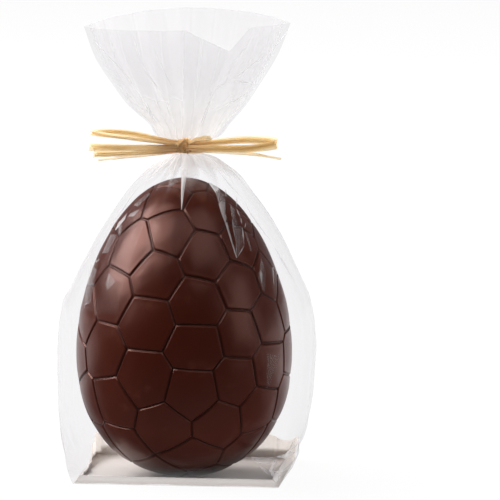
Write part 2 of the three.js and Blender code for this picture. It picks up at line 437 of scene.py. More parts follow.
# Value of a smooth curve through the (height, value) points of one of the bag's outlines
@lru_cache(maxsize=None)
def along(name, height):
    outline = bag[name]
    last = len(outline) - 1
    start = max(min(sum(spot[0] <= height for spot in outline) - 1, last - 1), 0)

    def slope(at):
        before, after = outline[max(at - 1, 0)], outline[min(at + 1, last)]
        return (after[1] - before[1]) / (after[0] - before[0])

    (low, first), (high, second) = outline[start], outline[start + 1]
    span = high - low
    t = min(max((height - low) / span, 0), 1)
    leave, arrive = slope(start) * span, slope(start + 1) * span
    return (first + t * leave + t * t * (3 * (second - first) - 2 * leave - arrive)
            + t * t * t * (2 * (first - second) + leave + arrive))


@lru_cache(maxsize=None)
def frontReach(height):
    if height < foot:
        return max(along("frontBelowEgg", height), overEgg(height))
    return overEgg(height) if height < shoulder else along("frontAboveEgg", height)


def bend(start, control, end, t):
    return start.lerp(control, t).lerp(control.lerp(end, t), t)


# One quarter of a level section, from the middle of the front or back (share 0) to the side (share 1)
def quarter(side, reach, across, towards, share):
    middle = Vector((0, reach))
    crease = Vector((side * across, reach * towards))
    if share < 0.5:
        return bend(middle, Vector((crease.x * bag["flatFront"], reach)), crease, share * 2)
    control = Vector((side * bag["flatSide"], crease.y * 0.5))
    return bend(crease, control, Vector((side, 0)), share * 2 - 1)


pleats = {
    "count": 16,
    "uneven": [(3, 0.16, 0.7), (7, 0.07, 2.1)],  # waves round the bag, their size and start
    "crest": 0.75,
    "rough": 0.35,
    "roughness": 6,
}


# Irregular pleats: sharp-crested waves of uneven width
def pleat(angle):
    turned = angle + sum(size * math.sin(times * angle + start) for times, size, start in pleats["uneven"])
    wave = 2 * abs((turned * pleats["count"] / (2 * math.pi) + 0.25) % 1 - 0.5) * 2 - 1
    rough = noise.noise(Vector((math.cos(angle), math.sin(angle), 0)) * pleats["roughness"])
    return pleats["crest"] * wave + pleats["rough"] * rough


def filmSpot(angle, height):
    right, front = math.sin(angle) >= 0, math.cos(angle) >= 0
    share = math.acos(min(abs(math.cos(angle)), 1)) / (math.pi / 2)
    centre = bag["neckY"] * smoothStep(height, bag["leanFrom"], bag["neckBottom"])
    reach = frontReach(height) if front else along("backSide", height)
    spot = quarter(
        along("rightSide" if right else "leftSide", height),
        reach + centre if front else reach - centre,
        along("creaseAcross", height),
        along("creaseForward" if front else "creaseBack", height),
        share,
    )
    least = bag["pleatsAtSides"]["below" if height < bag["neckTop"] else "above"]
    fold = along("foldDepth", height) * pleat(angle) * max(math.cos(angle) ** 2, least)
    if spot.length > 0:
        spot = spot * (1 + fold / spot.length)
    x = spot.x if right else -spot.x
    y = centre + (-spot.y if front else spot.y)
    plume = min(max((height - bag["neckTop"]) / (bag["mouthCorner"] - bag["neckTop"]), 0), 1)
    rim = -bag["mouthFrontDrop"] if front else bag["mouthBackRise"]
    rise = rim * math.cos(angle) ** 2 + bag["mouthTilt"] * math.sin(angle)
    if front:
        aside = x - bag["dip"]["x"]
        reach = bag["dip"]["left" if aside < 0 else "right"]
        rise -= bag["dip"]["depth"] * max(1 - abs(aside) / reach, 0) * plume ** 2
    return Vector((x, y, height + rise * plume))


# How the film is crumpled. Lengths and depths are in millimetres, "still" is the share that is taken away.
creasing = {
    "facet": 13,
    "plumeFacet": 18,
    "depth": 0.9,
    "fineFacet": 6,
    "fineDepth": 0.35,
    "tautFacet": 24,  # where it lies taut on the egg
    "tautDepth": 0.5,
    "tautHeights": (12, 30, 108, 124),
    "tautSpread": 1.4,  # how far round from the front
    "footHeights": (0, 8),
    "tieHeight": 133,
    "tieReach": (30, 6),
    "tieStill": 0.9,
    "plumeHeights": (136, 142),
    "plumeStill": 0.7,
    "plumeSidesStill": 0.24,
    "neckHeights": (68, 84, 124, 136),
    "neckStill": 0.6,
    "gatherBelow": (26, 4),  # distances from the tie where the gathers end and where they are full
    "gatherAbove": (41.6, 4),
    "gatherDepth": 1.6,
    "forwards": 1.3,  # how much more the film is pushed out to the front than to the sides
    "gathers": 5,
    "gatherLength": 160,
}


# Flat facets between sharp creases, as a crumpled sheet has; they are longer than they are wide
def crumple(spot, facet):
    place = Vector((spot.x, spot.y, spot.z * 0.6)) / facet
    distances = noise.voronoi(place)[0]
    return min(distances[1] - distances[0], 0.8) - 0.3


def looseness(angle, height):
    tie = smoothStep(abs(height - creasing["tieHeight"]), *creasing["tieReach"])
    plume = smoothStep(height, *creasing["plumeHeights"])
    plume *= creasing["plumeStill"] + creasing["plumeSidesStill"] * math.sin(angle) ** 2
    neck = plateau(height, *creasing["neckHeights"]) * creasing["neckStill"]
    free = smoothStep(height, *creasing["footHeights"]) * (1 - creasing["tieStill"] * tie)
    return free * (1 - max(plume, neck))


def creaseDepth(spot, angle, height):
    facet = creasing["facet" if height < bag["neckBottom"] else "plumeFacet"]
    coarse = creasing["depth"] * crumple(spot, facet)
    fine = creasing["fineDepth"] * crumple(spot + Vector((40, 0, 0)), creasing["fineFacet"])
    taut = creasing["tautDepth"] * crumple(spot, creasing["tautFacet"])
    resting = max(math.cos(angle), 0) * plateau(height, *creasing["tautHeights"])
    return looseness(angle, height) * mixed(coarse + fine, taut, min(resting * creasing["tautSpread"], 1))


# How milky the film is, from 0 for clear to 1 for white
haze = {
    "plumeLow": 0.5,
    "plumeFront": 0.26,
    "plumeBack": 0.76,
    "plumeHeights": (136, 160),
    "plumeEdge": (0.88, 0.97),  # the sheet is clear where it turns at the sides; sine of the angle
    # patch tone and seams: partly the film's own unevenness, partly painted light and shade of the plume's
    # folds
    "patches": 3.4,
    "patchTone": 0.07,
    "patchSeam": 0.1,
    "plumeStreaks": 0.09,
    "tie": 0.5,
    "tieStreaks": 0.4,
    "tieHeights": (119, 128),
    "tiePleats": 6,
    "sides": 0.08,
    "sideStreaks": 0.1,
    "sideTurn": (0.66, 0.95),
    "base": 0.14,
    "baseHeights": (10, 4),
}


# Most at the tie, uneven from fold to fold in the plume, clear over the egg; the plume's patches and lighter
# seams are partly the film's own uneven milkiness and partly painted light and shade of its folds
def milkiness(angle, height, streak):
    turn = abs(math.sin(angle))
    if height > bag["neckBottom"]:
        patch = angle * haze["patches"] + 0.5 * math.sin(2 * angle + 1)
        tone = noise.cell(Vector((math.floor(patch) + 0.5, 3.5, 0.5)))
        seam = smoothStep(abs(patch % 1 - 0.5), 0.44, 0.5)
        top = haze["plumeFront" if math.cos(angle) > 0 else "plumeBack"]
        plain = mixed(haze["plumeLow"], top, smoothStep(height, *haze["plumeHeights"]))
        uneven = haze["patchTone"] * tone + haze["plumeStreaks"] * streak - haze["patchSeam"] * seam
        return max(plain + uneven, 0) * (1 - smoothStep(turn, *haze["plumeEdge"]))
    start, end = haze["tieHeights"]
    tie = smoothStep(height, start - haze["tiePleats"] * pleat(angle), end)
    sides = smoothStep(turn, *haze["sideTurn"]) * (haze["sides"] + haze["sideStreaks"] * streak)
    base = haze["base"] * smoothStep(height, *haze["baseHeights"])
    return max(tie * (haze["tie"] + haze["tieStreaks"] * streak), sides, base)


# Moves the spot out where it would go into the egg
def pushOffEgg(spot, height):
    away = Vector((spot.x, spot.y - egg["y"], 0))
    least = eggReach(height) + bag["clearOfEgg"]
    if away.length < least:
        away.normalize()
        spot.x, spot.y = away.x * least, away.y * least + egg["y"]


def filmForm():
    form = bmesh.new()
    milk = form.verts.layers.float.new("haze")
    bmesh.ops.create_grid(form, x_segments=bag["columns"], y_segments=bag["rows"], size=0.5)
    for corner in form.verts:
        turn = (corner.co.x + 0.5) * 2 * math.pi
        angle = turn - bag["frontShare"] * math.sin(turn)
        height = round((corner.co.y + 0.5) * bag["mouthCorner"], 3)
        spot = filmSpot(angle, height)
        out = Vector((spot.x, (spot.y - bag["neckY"]) * creasing["forwards"], 0))
        if out.length > 0:
            out.normalize()
        spot += out * creaseDepth(spot, angle, height)
        rise = height - creasing["tieHeight"]
        gather = smoothStep(abs(rise), *creasing["gatherAbove" if rise > 0 else "gatherBelow"])
        around = Vector((math.cos(angle), math.sin(angle), 0)) * creasing["gathers"]
        streak = noise.noise(around + Vector((0, 0, height / creasing["gatherLength"])))
        spot += out * gather * streak * creasing["gatherDepth"]
        corner[milk] = milkiness(angle, height, streak)
        if egg["lift"] < height < egg["lift"] + egg["height"] - 0.5:
            pushOffEgg(spot, height)
        corner.co = (spot.x, spot.y, max(spot.z, bag["floor"]))
    bmesh.ops.remove_doubles(form, verts=form.verts, dist=0.01)
    ground = [edge for edge in form.edges if edge.is_boundary and max(c.co.z for c in edge.verts) < 1]
    bmesh.ops.contextual_create(form, geom=ground)
    bmesh.ops.recalc_face_normals(form, faces=form.faces)
    return form


# Shades of the milk, each with the heights between which it sets in; the milk is painted a darker grey on the
# body and in the plume than at the tie, which is painted shade
cellophane = {
    "clear": (0.935, 0.931, 0.937, 1),
    "mirror": (0.95, 0.95, 0.96, 1),
    "roughness": 0.12,
    "shine": 0.003,
    "edgeShine": 0.2,
    "milk": [
        ((0.74, 0.735, 0.74), (0, 0)), ((0.9, 0.88, 0.865), (112, 124)), ((0.755, 0.745, 0.755), (138, 158)),
    ],
    # the folds' milk is painted brighter than the film's: painted glints
    "foldMilkPaintedBright": [((0.92, 0.91, 0.92), (0, 0)), ((0.98, 0.97, 0.97), (108, 116))],
}


# Clear film, milky where the haze attribute is high
def filmFinish(name, layers):
    finish = Finish(bpy.data.materials.new(name))
    facing = finish.node("ShaderNodeLayerWeight", {}, {"Blend": 0.5}, "Facing")
    shine = cellophane["shine"] + cellophane["edgeShine"] * facing ** 5
    clear = finish.node("ShaderNodeBsdfTransparent", {}, {"Color": cellophane["clear"]})
    mirror = finish.node("ShaderNodeBsdfGlossy", {}, {
        "Color": cellophane["mirror"], "Roughness": cellophane["roughness"],
    })
    height = finish.axis("Z")
    milk = None
    # milk shades that change with height: painted shade on the body and in the plume, whiter at the tie
    for shade, heights in layers:
        front = finish.node("ShaderNodeBsdfDiffuse", {}, {"Color": (*shade, 1)})
        through = finish.node("ShaderNodeBsdfTranslucent", {}, {"Color": (*shade, 1)})
        layer = finish.mixShaders(0.5, front, through)
        milk = finish.mixShaders(finish.graded(height, metres(heights)), milk, layer) if milk else layer
    plain = finish.mixShaders(shine, clear, mirror)
    return finish.finish(finish.mixShaders(finish.attribute("haze"), plain, milk))


makePiece("film", filmForm(), filmFinish("clear_film", cellophane["milk"]), "bag")

# Folded-over facets of film that lie on the front: corners (x, height), then how pale each is; the pale milk
# is partly the film's own white creasing and partly painted glints and reflections
folds = {
    "steps": 10,
    "halvings": 18,
    "lift": 0.4,
    "liftNearTie": 1.5,
    "nearTie": (108, 116),
    "facets": [
        ([(9.6, 120.7), (13.8, 118.9), (14.5, 118), (13, 117.2)], 0.8),
        ([(13, 117.2), (14.5, 118), (17, 115.5), (15.4, 112.9)], 0.25),
        ([(15.2, 112.9), (17.1, 115), (19.2, 107.4), (18.9, 105.7)], 0.45),
        ([(18.9, 105.7), (19.5, 106.4), (24.3, 92.7), (23.9, 92.8)], 0.6),
        ([(19.4, 112.6), (21.6, 110.2), (22.2, 108.1), (21.1, 107.8)], 0.2),
        ([(21.1, 107.8), (22.2, 108.1), (23.9, 104.9), (22.1, 104)], 0.1),
        ([(22, 104.8), (25, 104), (26.5, 96.9), (23.5, 98.1)], 0.13),
        ([(23.5, 98.1), (26.5, 96.9), (24.6, 93.6), (24, 92.9)], 0.1),
        ([(26.1, 102.1), (26.9, 101.9), (29.6, 94.5), (28.9, 94.7)], 0.14),
        ([(-0.2, 125.5), (2.1, 125.6), (1.95, 111.1), (1.75, 111.1)], 0.8),
        ([(-17.5, 111.7), (-11.3, 116.8), (-10.7, 115.9), (-15.7, 111.2)], 0.22),
        ([(-19.7, 107.4), (-19.1, 108.5), (-14.7, 110.8), (-17.4, 107.7)], 0.45),
        ([(-25.1, 101.5), (-24.1, 104.5), (-20.4, 108.6), (-21.1, 106.2)], 0.85),
        ([(-23.6, 104.1), (-22.1, 105.2), (-22.2, 101.4), (-23.3, 100.6)], 0.3),
        ([(-27, 99.9), (-24.1, 100.5), (-27.1, 93.3), (-30.1, 92.7)], 0.22),
        ([(-32.8, 89.2), (-31, 90.6), (-31.2, 90), (-32.5, 88.9)], 0.6),
        ([(-3.9, 119.9), (-1.3, 121.4), (-0.8, 120.7), (-2.6, 119.5)], 0.25),
        ([(-35.2, 88.2), (-31.8, 86.6), (-33.5, 74.4), (-36.5, 72.2)], 0.22),
        ([(-26.3, 86.1), (-23, 83.2), (-26.3, 79.5), (-27.4, 81.4)], 0.25),
        ([(32.7, 92.1), (34.7, 86.7), (34.9, 78.2), (32.3, 84.5)], 0.14),
        ([(32.9, 87.3), (33.9, 85.2), (33.6, 82.1), (32.8, 85.2)], 0.4),
        ([(36.5, 55), (41.4, 54.3), (38.6, 46.2), (36.3, 40.3)], 0.05),
        ([(36.8, 87.5), (37.3, 87.6), (38.1, 81.2), (37.8, 81.4)], 0.4),
        ([(39.3, 13.2), (43.9, 13.9), (44.6, 10.4), (42, 12.4)], 0.6),
        ([(36.6, 7.2), (38.9, 12.8), (39.3, 12.4), (37.8, 7)], 0.35),
        ([(30, 13.5), (39.3, 13), (37.1, 10.4), (33, 10.6)], 0.2),
        ([(37.4, 6.4), (38.4, 8), (41.5, 5.4), (39.4, 3)], 0.25),
    ],
    "creaseWidth": 0.5,
    "creases": [  # a line of places (x, height) and how pale it is, partly a painted glint
        ([(20.9, 115.1), (22.1, 110.6), (24.2, 107.3), (24.9, 104.7)], 0.5),
        ([(25.1, 104), (26.5, 97.1), (24.4, 93.1)], 0.5),
        ([(21.1, 107.8), (23.5, 98.1), (24, 93.4)], 0.3),
        ([(16.6, 117.9), (17.4, 115.1)], 0.5),
        ([(26.2, 105.4), (26.1, 102.8)], 0.4),
        ([(-27.9, 180), (-25.9, 169), (-13.9, 152.4), (-8.3, 139.2)], 0.75),
        ([(-36.7, 178.5), (-19.9, 161.5)], 0.7),
        ([(-19, 180), (-15, 168), (-5, 152), (-2.6, 143)], 0.7),
        ([(-11, 176), (-1, 153.7)], 0.6),
        ([(5.8, 142.6), (11.2, 158), (17.4, 162.7), (28.6, 157.7), (32, 170)], 0.8),
        ([(17.4, 162.7), (32, 170), (42, 181.5)], 0.8),
        ([(18.6, 172), (15, 160)], 0.6),
        ([(28.6, 157.7), (10.2, 147.9)], 0.7),
        ([(18.6, 172.5), (28, 180.5)], 0.7),
        ([(29.9, 13.6), (35, 12.8), (39.3, 13), (47.9, 14.8)], 0.4),
        ([(39.3, 13), (41.5, 12.6), (44.3, 10.7)], 0.5),
        ([(39.3, 13), (37.8, 7.5), (38.9, 5.4)], 0.4),
        ([(40, 12.6), (39, 8), (37.6, 5.6)], 0.35),
        ([(33.1, 9.3), (37.1, 7.1), (45.1, 6.9)], 0.4),
        ([(33.1, 9.3), (37.6, 5.2)], 0.35),
        ([(37.3, 7.9), (38, 4.4), (40.8, 2.2)], 0.4),
        ([(-49.1, 70.7), (-40, 85.1), (-31.9, 97.4), (-15, 119), (-7, 127)], 0.3),
        ([(12, 125), (24, 113), (36, 96), (45, 79)], 0.22),
    ],
}


# Front of the film at (x, height)
def frontSpot(x, height):
    low, high = -math.pi / 2, math.pi / 2
    for _ in range(folds["halvings"]):
        middle = (low + high) / 2
        if filmSpot(middle, height).x < x:
            low = middle
        else:
            high = middle
    return filmSpot(low, height)


# One fold: a patch between four corners (x, height) that lies on the film
def addFold(form, milk, corners, palenessAndPaintedGlint):
    first, second, third, fourth = [Vector(corner) for corner in corners]
    steps = folds["steps"]
    for corner in bmesh.ops.create_grid(form, x_segments=steps, y_segments=steps, size=0.5)["verts"]:
        across, down = corner.co.x + 0.5, corner.co.y + 0.5
        place = first.lerp(second, across).lerp(fourth.lerp(third, across), down)
        spot = frontSpot(place.x, round(place.y, 2))
        away = Vector((spot.x, spot.y - egg["y"], 0))
        lift = mixed(folds["lift"], folds["liftNearTie"], smoothStep(spot.z, *folds["nearTie"]))
        reach = max(away.length, eggReach(spot.z) + bag["clearOfEgg"]) + lift
        away.normalize()
        corner.co = Vector((away.x * reach, away.y * reach + egg["y"], spot.z))
        streak = noise.noise(Vector((place.x * 1.6, place.y * 0.25, 7)))
        # painted glint: each facet is paler towards one side
        corner[milk] = palenessAndPaintedGlint * (1.3 - 0.8 * across + 0.5 * streak)


def foldsForm():
    form = bmesh.new()
    milk = form.verts.layers.float.new("haze")
    for corners, palenessAndPaintedGlint in folds["facets"]:
        addFold(form, milk, corners, palenessAndPaintedGlint)
    for line, palenessAndPaintedGlint in folds["creases"]:
        for start, end in zip(line, line[1:]):
            aside = (Vector(end) - Vector(start)).orthogonal().normalized() * folds["creaseWidth"] / 2
            middle = (Vector(start) + Vector(end)) / 2
            addFold(form, milk, [start, middle + aside, end, middle - aside], palenessAndPaintedGlint)
    bmesh.ops.remove_doubles(form, verts=form.verts, dist=0.005)
    bmesh.ops.recalc_face_normals(form, faces=form.faces)
    return form


makePiece("film_folds", foldsForm(), filmFinish("folded_film_painted_glints", cellophane["foldMilkPaintedBright"]), "bag")


# The card tray that the egg stands on: a low front lip, and thin crumpled walls that rise towards the back
card = {
    "width": 82.4,
    "depth": 64,
    "shift": -0.8,
    "cells": (90, 70),
    "ground": 0.2,
    "uneven": 0.5,
    "lip": 3.3,
    "backWall": 9,
    "risesBetween": (0.4, 0.95),  # shares of the depth
    "rows": [0.12, 0.3, 0.55, 0.8, 1],
    "frontLean": -2.4,
    "backLean": 1,
    "torn": 0.5,
    "crumpled": 1.3,
    "lowerAtLeft": 0.8,
    "thickness": 0.3,
    # painted shade: the card's floor is painted darker than its walls
    "floorShade": (0.6, 0.55, 0.515),
    "wallShade": (0.72, 0.675, 0.64),
    "wallHeights": (0.6, 2.4),
    "through": (0.95, 0.92, 0.89, 1),
    "thinHeights": (2.6, 4.6),  # light comes through the wall above these
    "thinSides": (39, 40.2),  # and beyond these distances from the middle
    "thinness": 0.7,
}


# Moves one corner of the rim to its place, that share of the way up the wall
def raiseWall(corner, share):
    x, y = corner.co.x, corner.co.y
    back = smoothStep(y / card["depth"] + 0.5, *card["risesBetween"])
    out = Vector((x / card["width"], y / card["depth"], 0)) * 2
    loose = max(back, 0.5 * min(abs(out.x), 1) ** 9)
    torn = 1 + loose * card["torn"] * noise.noise(Vector((x, y, 3)) / 9)
    flat = smoothStep(-out.x, 0.9, 1) * smoothStep(out.y, -1, -0.8) * (1 - back)
    wall = mixed(card["lip"], card["backWall"], back) * torn * (1 - card["lowerAtLeft"] * flat)
    crease = loose * card["crumpled"] * crumple(Vector((x, y, wall * share * 2)), 13)
    lean = mixed(card["frontLean"], card["backLean"], back)
    corner.co.x += out.x ** 7 * lean / len(card["rows"]) + out.x * crease
    corner.co.y += out.y ** 7 * card["backLean"] / len(card["rows"]) + out.y * crease
    corner.co.z = card["ground"] + wall * share


def cardForm():
    form = bmesh.new()
    columns, rows = card["cells"]
    bmesh.ops.create_grid(form, x_segments=columns, y_segments=rows, size=0.5)
    bmesh.ops.scale(form, vec=(card["width"], card["depth"], 1), verts=form.verts)
    for corner in form.verts:
        corner.co.z = card["ground"] + card["uneven"] * max(noise.noise(corner.co / 14), 0)
    rim = [edge for edge in form.edges if edge.is_boundary]
    for share in card["rows"]:
        raised = bmesh.ops.extrude_edge_only(form, edges=rim)["geom"]
        rim = [item for item in raised if isinstance(item, bmesh.types.BMEdge)]
        for corner in {corner for edge in rim for corner in edge.verts}:
            raiseWall(corner, share)
    bmesh.ops.translate(form, vec=(card["shift"], 0, 0), verts=form.verts)
    bmesh.ops.recalc_face_normals(form, faces=form.faces)
    bmesh.ops.solidify(form, geom=form.faces, thickness=card["thickness"])
    return form


def cardFinish():
    finish = Finish(bpy.data.materials.new("white_card"))
    fibre = finish.noise(finish.place(), 700, 3, 0.6)
    height = finish.axis("Z")
    onWall = finish.graded(height, metres(card["wallHeights"]), curve="SMOOTHSTEP")
    plain = finish.node("ShaderNodeBsdfPrincipled", {}, {
        # painted shade on the floor: darker below the height where the walls begin
        "Base Color": finish.mixColours(onWall, card["floorShade"], card["wallShade"]),
        "Roughness": 0.7 + 0.1 * fibre,
        "Normal": finish.bump(fibre, 0.2, 0.15 * mm),
    })
    through = finish.node("ShaderNodeBsdfTranslucent", {}, {"Color": card["through"]})
    highUp = finish.graded(height, metres(card["thinHeights"]), 0, card["thinness"])
    beside = finish.graded(abs(finish.axis("X")), metres(card["thinSides"]), 0, card["thinness"])
    thin = finish.larger(highUp, beside * onWall)
    return finish.finish(finish.mixShaders(thin, plain, through))


makePiece("card", cardForm(), cardFinish(), "bag", smooth=False)


# Raffia: flat palm fibre, each piece a few thin bands that lie on each other
raffia = {
    "bandThickness": 0.2,
    "cells": (90, 12),  # along and across
    "knotCentre": Vector((0.4, -14.7, 134.4)),
    "knotSize": Vector((7, 5.4, 5.6)),
    "gap": 0.4,
    "depth": -16.2,
    "step": 0.004,
    "ridge": 0.16,
    "curl": 0.3,
    "fray": 0.16,
    "straw": [
        (0.34, (0.82, 0.38, 0.08)), (0.42, (1, 0.65, 0.27)), (0.5, (1, 0.82, 0.48)), (0.58, (1, 0.96, 0.8)),
    ],
    "vein": (0.8, 0.43, 0.12),
    # painted shade: the fibre is painted darker and browner near the knot
    "paintedShadeAtKnot": (1, 0.53, 0.15),
    "knotShare": 0.45,
    "knotReach": (4, 13),
    "through": (1, 0.94, 0.8, 1),
    "thinStreaks": (0.38, 0.54),
    "relief": 0.3,
}


def routeSpot(points, t):
    span = t * (len(points) - 1)
    start = min(int(span), len(points) - 2)
    s = span - start
    before, first = points[max(start - 1, 0)], points[start]
    second, after = points[start + 1], points[min(start + 2, len(points) - 1)]
    return (first + (second - before) * (0.5 * s)
            + (before * 2 - first * 5 + second * 4 - after) * (0.5 * s * s)
            + (first * 3 - before - second * 3 + after) * (0.5 * s * s * s))


def widthAt(widths, t):
    for (low, first), (high, second) in zip(widths, widths[1:]):
        if t <= high:
            return mixed(first, second, smoothStep(t, low, high))
    return widths[-1][1]


# One band: a grid bent along a route, bowed, ridged along its length and a little frayed at its edges
def addBand(form, band, seed, upright, bow):
    points, widths, roll = band
    route = [Vector(point) for point in points]
    layer = form.loops.layers.uv.active or form.loops.layers.uv.new("UVMap")
    columns, rows = raffia["cells"]
    made = bmesh.ops.create_grid(form, x_segments=columns, y_segments=rows, size=0.5)["verts"]
    own = set(made)
    faces = [face for face in form.faces if set(face.verts) <= own]
    for face in faces:
        for loop in face.loops:
            loop[layer].uv = (loop.vert.co.x + 0.5 + seed * 1.7, loop.vert.co.y + 0.5 + seed * 2.3)
    for corner in made:
        t, across = corner.co.x + 0.5, corner.co.y
        before, after = max(t - raffia["step"], 0), min(t + raffia["step"], 1)
        heading = (routeSpot(route, after) - routeSpot(route, before)).normalized()
        face = (Matrix.Rotation(roll, 3, heading) @ Vector(upright)).cross(heading).normalized()
        side = heading.cross(face).normalized()
        width = widthAt(widths, t)
        ridge = raffia["ridge"] * noise.noise(Vector((t * 3, across * 10 + seed * 7, seed)))
        curl = raffia["curl"] * noise.noise(Vector((t * 2.2, seed * 3.1, 0))) - bow * width
        fray = 1 + raffia["fray"] * noise.noise(Vector((t * 9, across * 4, seed + 5)))
        rise = ridge + (across * across * 4 - 0.3) * curl
        corner.co = routeSpot(route, t) + face * rise + side * across * width * fray
    bmesh.ops.solidify(form, geom=faces, thickness=raffia["bandThickness"])


def raffiaFinish():
    finish = Finish(bpy.data.materials.new("raffia"))
    streak = finish.noise(finish.place((3, 8, 1), "UV"), 1, 5, 0.65)
    fine = finish.noise(finish.place((9, 34, 1), "UV"), 1, 3, 0.6)
    shade = finish.mixColours(fine * 0.2, finish.ramp(streak, raffia["straw"]), raffia["vein"])
    # painted shade near the knot; the same mask makes the fibre less translucent there
    nearKnot = finish.graded(abs(finish.axis("X")), metres(raffia["knotReach"]), raffia["knotShare"], 0)
    front = finish.node("ShaderNodeBsdfPrincipled", {}, {
        "Base Color": finish.mixColours(nearKnot, shade, raffia["paintedShadeAtKnot"]),
        "Roughness": 0.42 + 0.15 * streak,
        "Normal": finish.bump(fine * 0.5 + streak * 0.5, 0.6, raffia["relief"] * mm),
        "Specular IOR Level": 0.5,
    })
    through = finish.node("ShaderNodeBsdfTranslucent", {}, {"Color": raffia["through"]})
    thin = finish.graded(streak, raffia["thinStreaks"], 0.5) - nearKnot * 0.7
    return finish.finish(finish.mixShaders(thin, front, through))


raffiaMaterial = raffiaFinish()


def makeRaffia(name, bands, upright=(0, 0.66, 0.75), bow=0.03):
    form = bmesh.new()
    for seed, band in enumerate(bands):
        addBand(form, band, seed + len(name) * 0.37, upright, bow)
    return makePiece(name, form, raffiaMaterial, name)


# The same fibre again, moved and narrower, so that a ribbon is a few strands deep
def strands(points, widths, roll, moves):
    bands = [(points, widths, roll)]
    for x, y, z, share in moves:
        moved = [(point[0] + x, point[1] + y, point[2] + z) for point in points]
        bands.append((moved, [(t, width * share) for t, width in widths], roll + share * 0.2))
    return bands


intoKnot = 1.6
knotRight = raffia["knotCentre"].x + raffia["knotSize"].x / 2 + raffia["gap"] - intoKnot
knotLeft = raffia["knotCentre"].x - raffia["knotSize"].x / 2 - raffia["gap"] + intoKnot
depth = raffia["depth"]
loopRight = [
    (knotRight, -16.6, 134.1), (14, -18.8, 134.3), (26, -20.4, 134.6), (34, -20, 135.5), (37.8, -18, 136.2),
    (34, -16, 136.9), (25, -15, 136.9), (14, -14.6, 135.9), (knotRight, -14.6, 134.9),
]
loopLeft = [
    (knotLeft, -15.9, 134.9), (-12, -18, 136.4), (-24, -19.6, 138), (-32, -19.2, 138.8), (-36, -17.4, 139.4),
    (-32, -15.8, 139.9), (-23, -15.2, 139.5), (-12, -14.6, 137.6), (knotLeft, -14.2, 135.6),
]
makeRaffia("raffia_loop_right", strands(
    loopRight, [(0, 1.8), (0.25, 3.3), (0.42, 3.7), (0.5, 3.5), (0.58, 3.5), (0.8, 3), (1, 1.8)], 0,
    [(-0.6, -0.35, 0.6, 0.4), (-0.9, -0.4, -0.8, 0.3), (-1.6, 0.3, -0.3, 0.5), (-1.2, -0.5, 0, 0.22)],
), bow=-0.25)
makeRaffia("raffia_loop_left", strands(
    loopLeft, [(0, 1.3), (0.25, 2), (0.44, 2.1), (0.5, 1.7), (0.6, 2.6), (0.78, 2.7), (1, 1.3)], 0.1,
    [(0.6, -0.35, 0.3, 0.4), (0.9, 0.3, -0.4, 0.4), (1.4, -0.4, -0.4, 0.25)],
), bow=-0.25)
tailUpper = [
    (knotLeft, depth, 134), (-14, depth - 1, 133.9), (-27, depth - 1.2, 133.8), (-37.1, depth, 133.6),
]
tailLower = [
    (knotLeft, depth + 1, 132.9), (-13, depth + 0.6, 132), (-26, depth, 131.3), (-35.7, depth + 1, 130.8),
]
makeRaffia("raffia_tail_left_upper", strands(
    tailUpper, [(0, 1.4), (0.3, 2.8), (1, 3.7)], 0.15,
    [(0.6, -0.4, 0.7, 0.35), (0.9, -0.4, -0.9, 0.35), (1.6, -0.5, 0, 0.2)],
))
makeRaffia("raffia_tail_left_lower", strands(
    tailLower, [(0, 1), (0.3, 2.2), (1, 2.8)], -0.1, [(1.2, -0.4, 0.4, 0.35), (0.7, -0.45, -0.5, 0.3)],
))
makeRaffia("raffia_strand_left", [([
    (knotLeft, depth + 2.4, 132.1), (-14, depth + 1.8, 130.4), (-25, depth + 1.4, 129.3),
    (-34, depth + 1.8, 128.2),
], [(0, 0.9), (1, 0.9)], 0)])
makeRaffia("raffia_strand_right", [([
    (knotRight, depth + 2, 132.6), (14, depth + 1.2, 132.1), (25, depth + 0.4, 131.7),
    (33, depth + 0.6, 130.9), (39.6, depth + 1, 129.8),
], [(0, 1.2), (0.6, 1.1), (1, 0.8)], 0), ([
    (8, depth + 1.4, 132.8), (18, depth + 0.6, 132.6), (28, depth + 0.3, 132.2), (34, depth + 0.4, 130.9),
], [(0, 0.7), (1, 0.5)], 0)])
makeRaffia("raffia_curl", [([
    (knotRight, -16.4, 136), (5.2, -17.2, 137.1), (8.2, -17.2, 138), (10.8, -16.8, 138.2),
    (11.9, -16.2, 137.4),
], [(0, 1.6), (0.5, 1.3), (1, 0.8)], 0.3), ([
    (knotRight, -16, 135.6), (6, -16.8, 136.3), (9.2, -16.7, 136.8), (11.9, -16.3, 137.1),
], [(0, 1.3), (0.6, 1.2), (1, 0.8)], -0.2)])


# A closed turn of raffia: an ellipse round a centre, turned about the three axes
def turnRoute(centre, across, deep, turns):
    turned = Euler(turns, "XZY").to_matrix()
    angles = [2 * math.pi * step / 24 for step in range(25)]
    return [centre + turned @ Vector((across * math.cos(a), deep * math.sin(a), 0)) for a in angles]


wrap = {
    "across": 6.7,
    "deep": 5.8,
    "growth": 0.2,  # from one turn to the next
    "width": 1.5,
    "turns": [(-1.1, 0.05), (0.1, -0.07), (1.2, 0.04)],  # lift and lean
}

neck = Vector((0, bag["neckY"], (bag["neckBottom"] + bag["neckTop"]) / 2))
wrapTurns = []
for turn, (rise, lean) in enumerate(wrap["turns"]):
    across, deep = wrap["across"] + wrap["growth"] * turn, wrap["deep"] + wrap["growth"] * turn
    route = turnRoute(neck + Vector((0, 0, rise)), across, deep, (0, lean, 0))
    wrapTurns.append((route, [(0, wrap["width"]), (1, wrap["width"])], 0))
makeRaffia("raffia_wrap", wrapTurns, (0, 0, 1), 0.06)

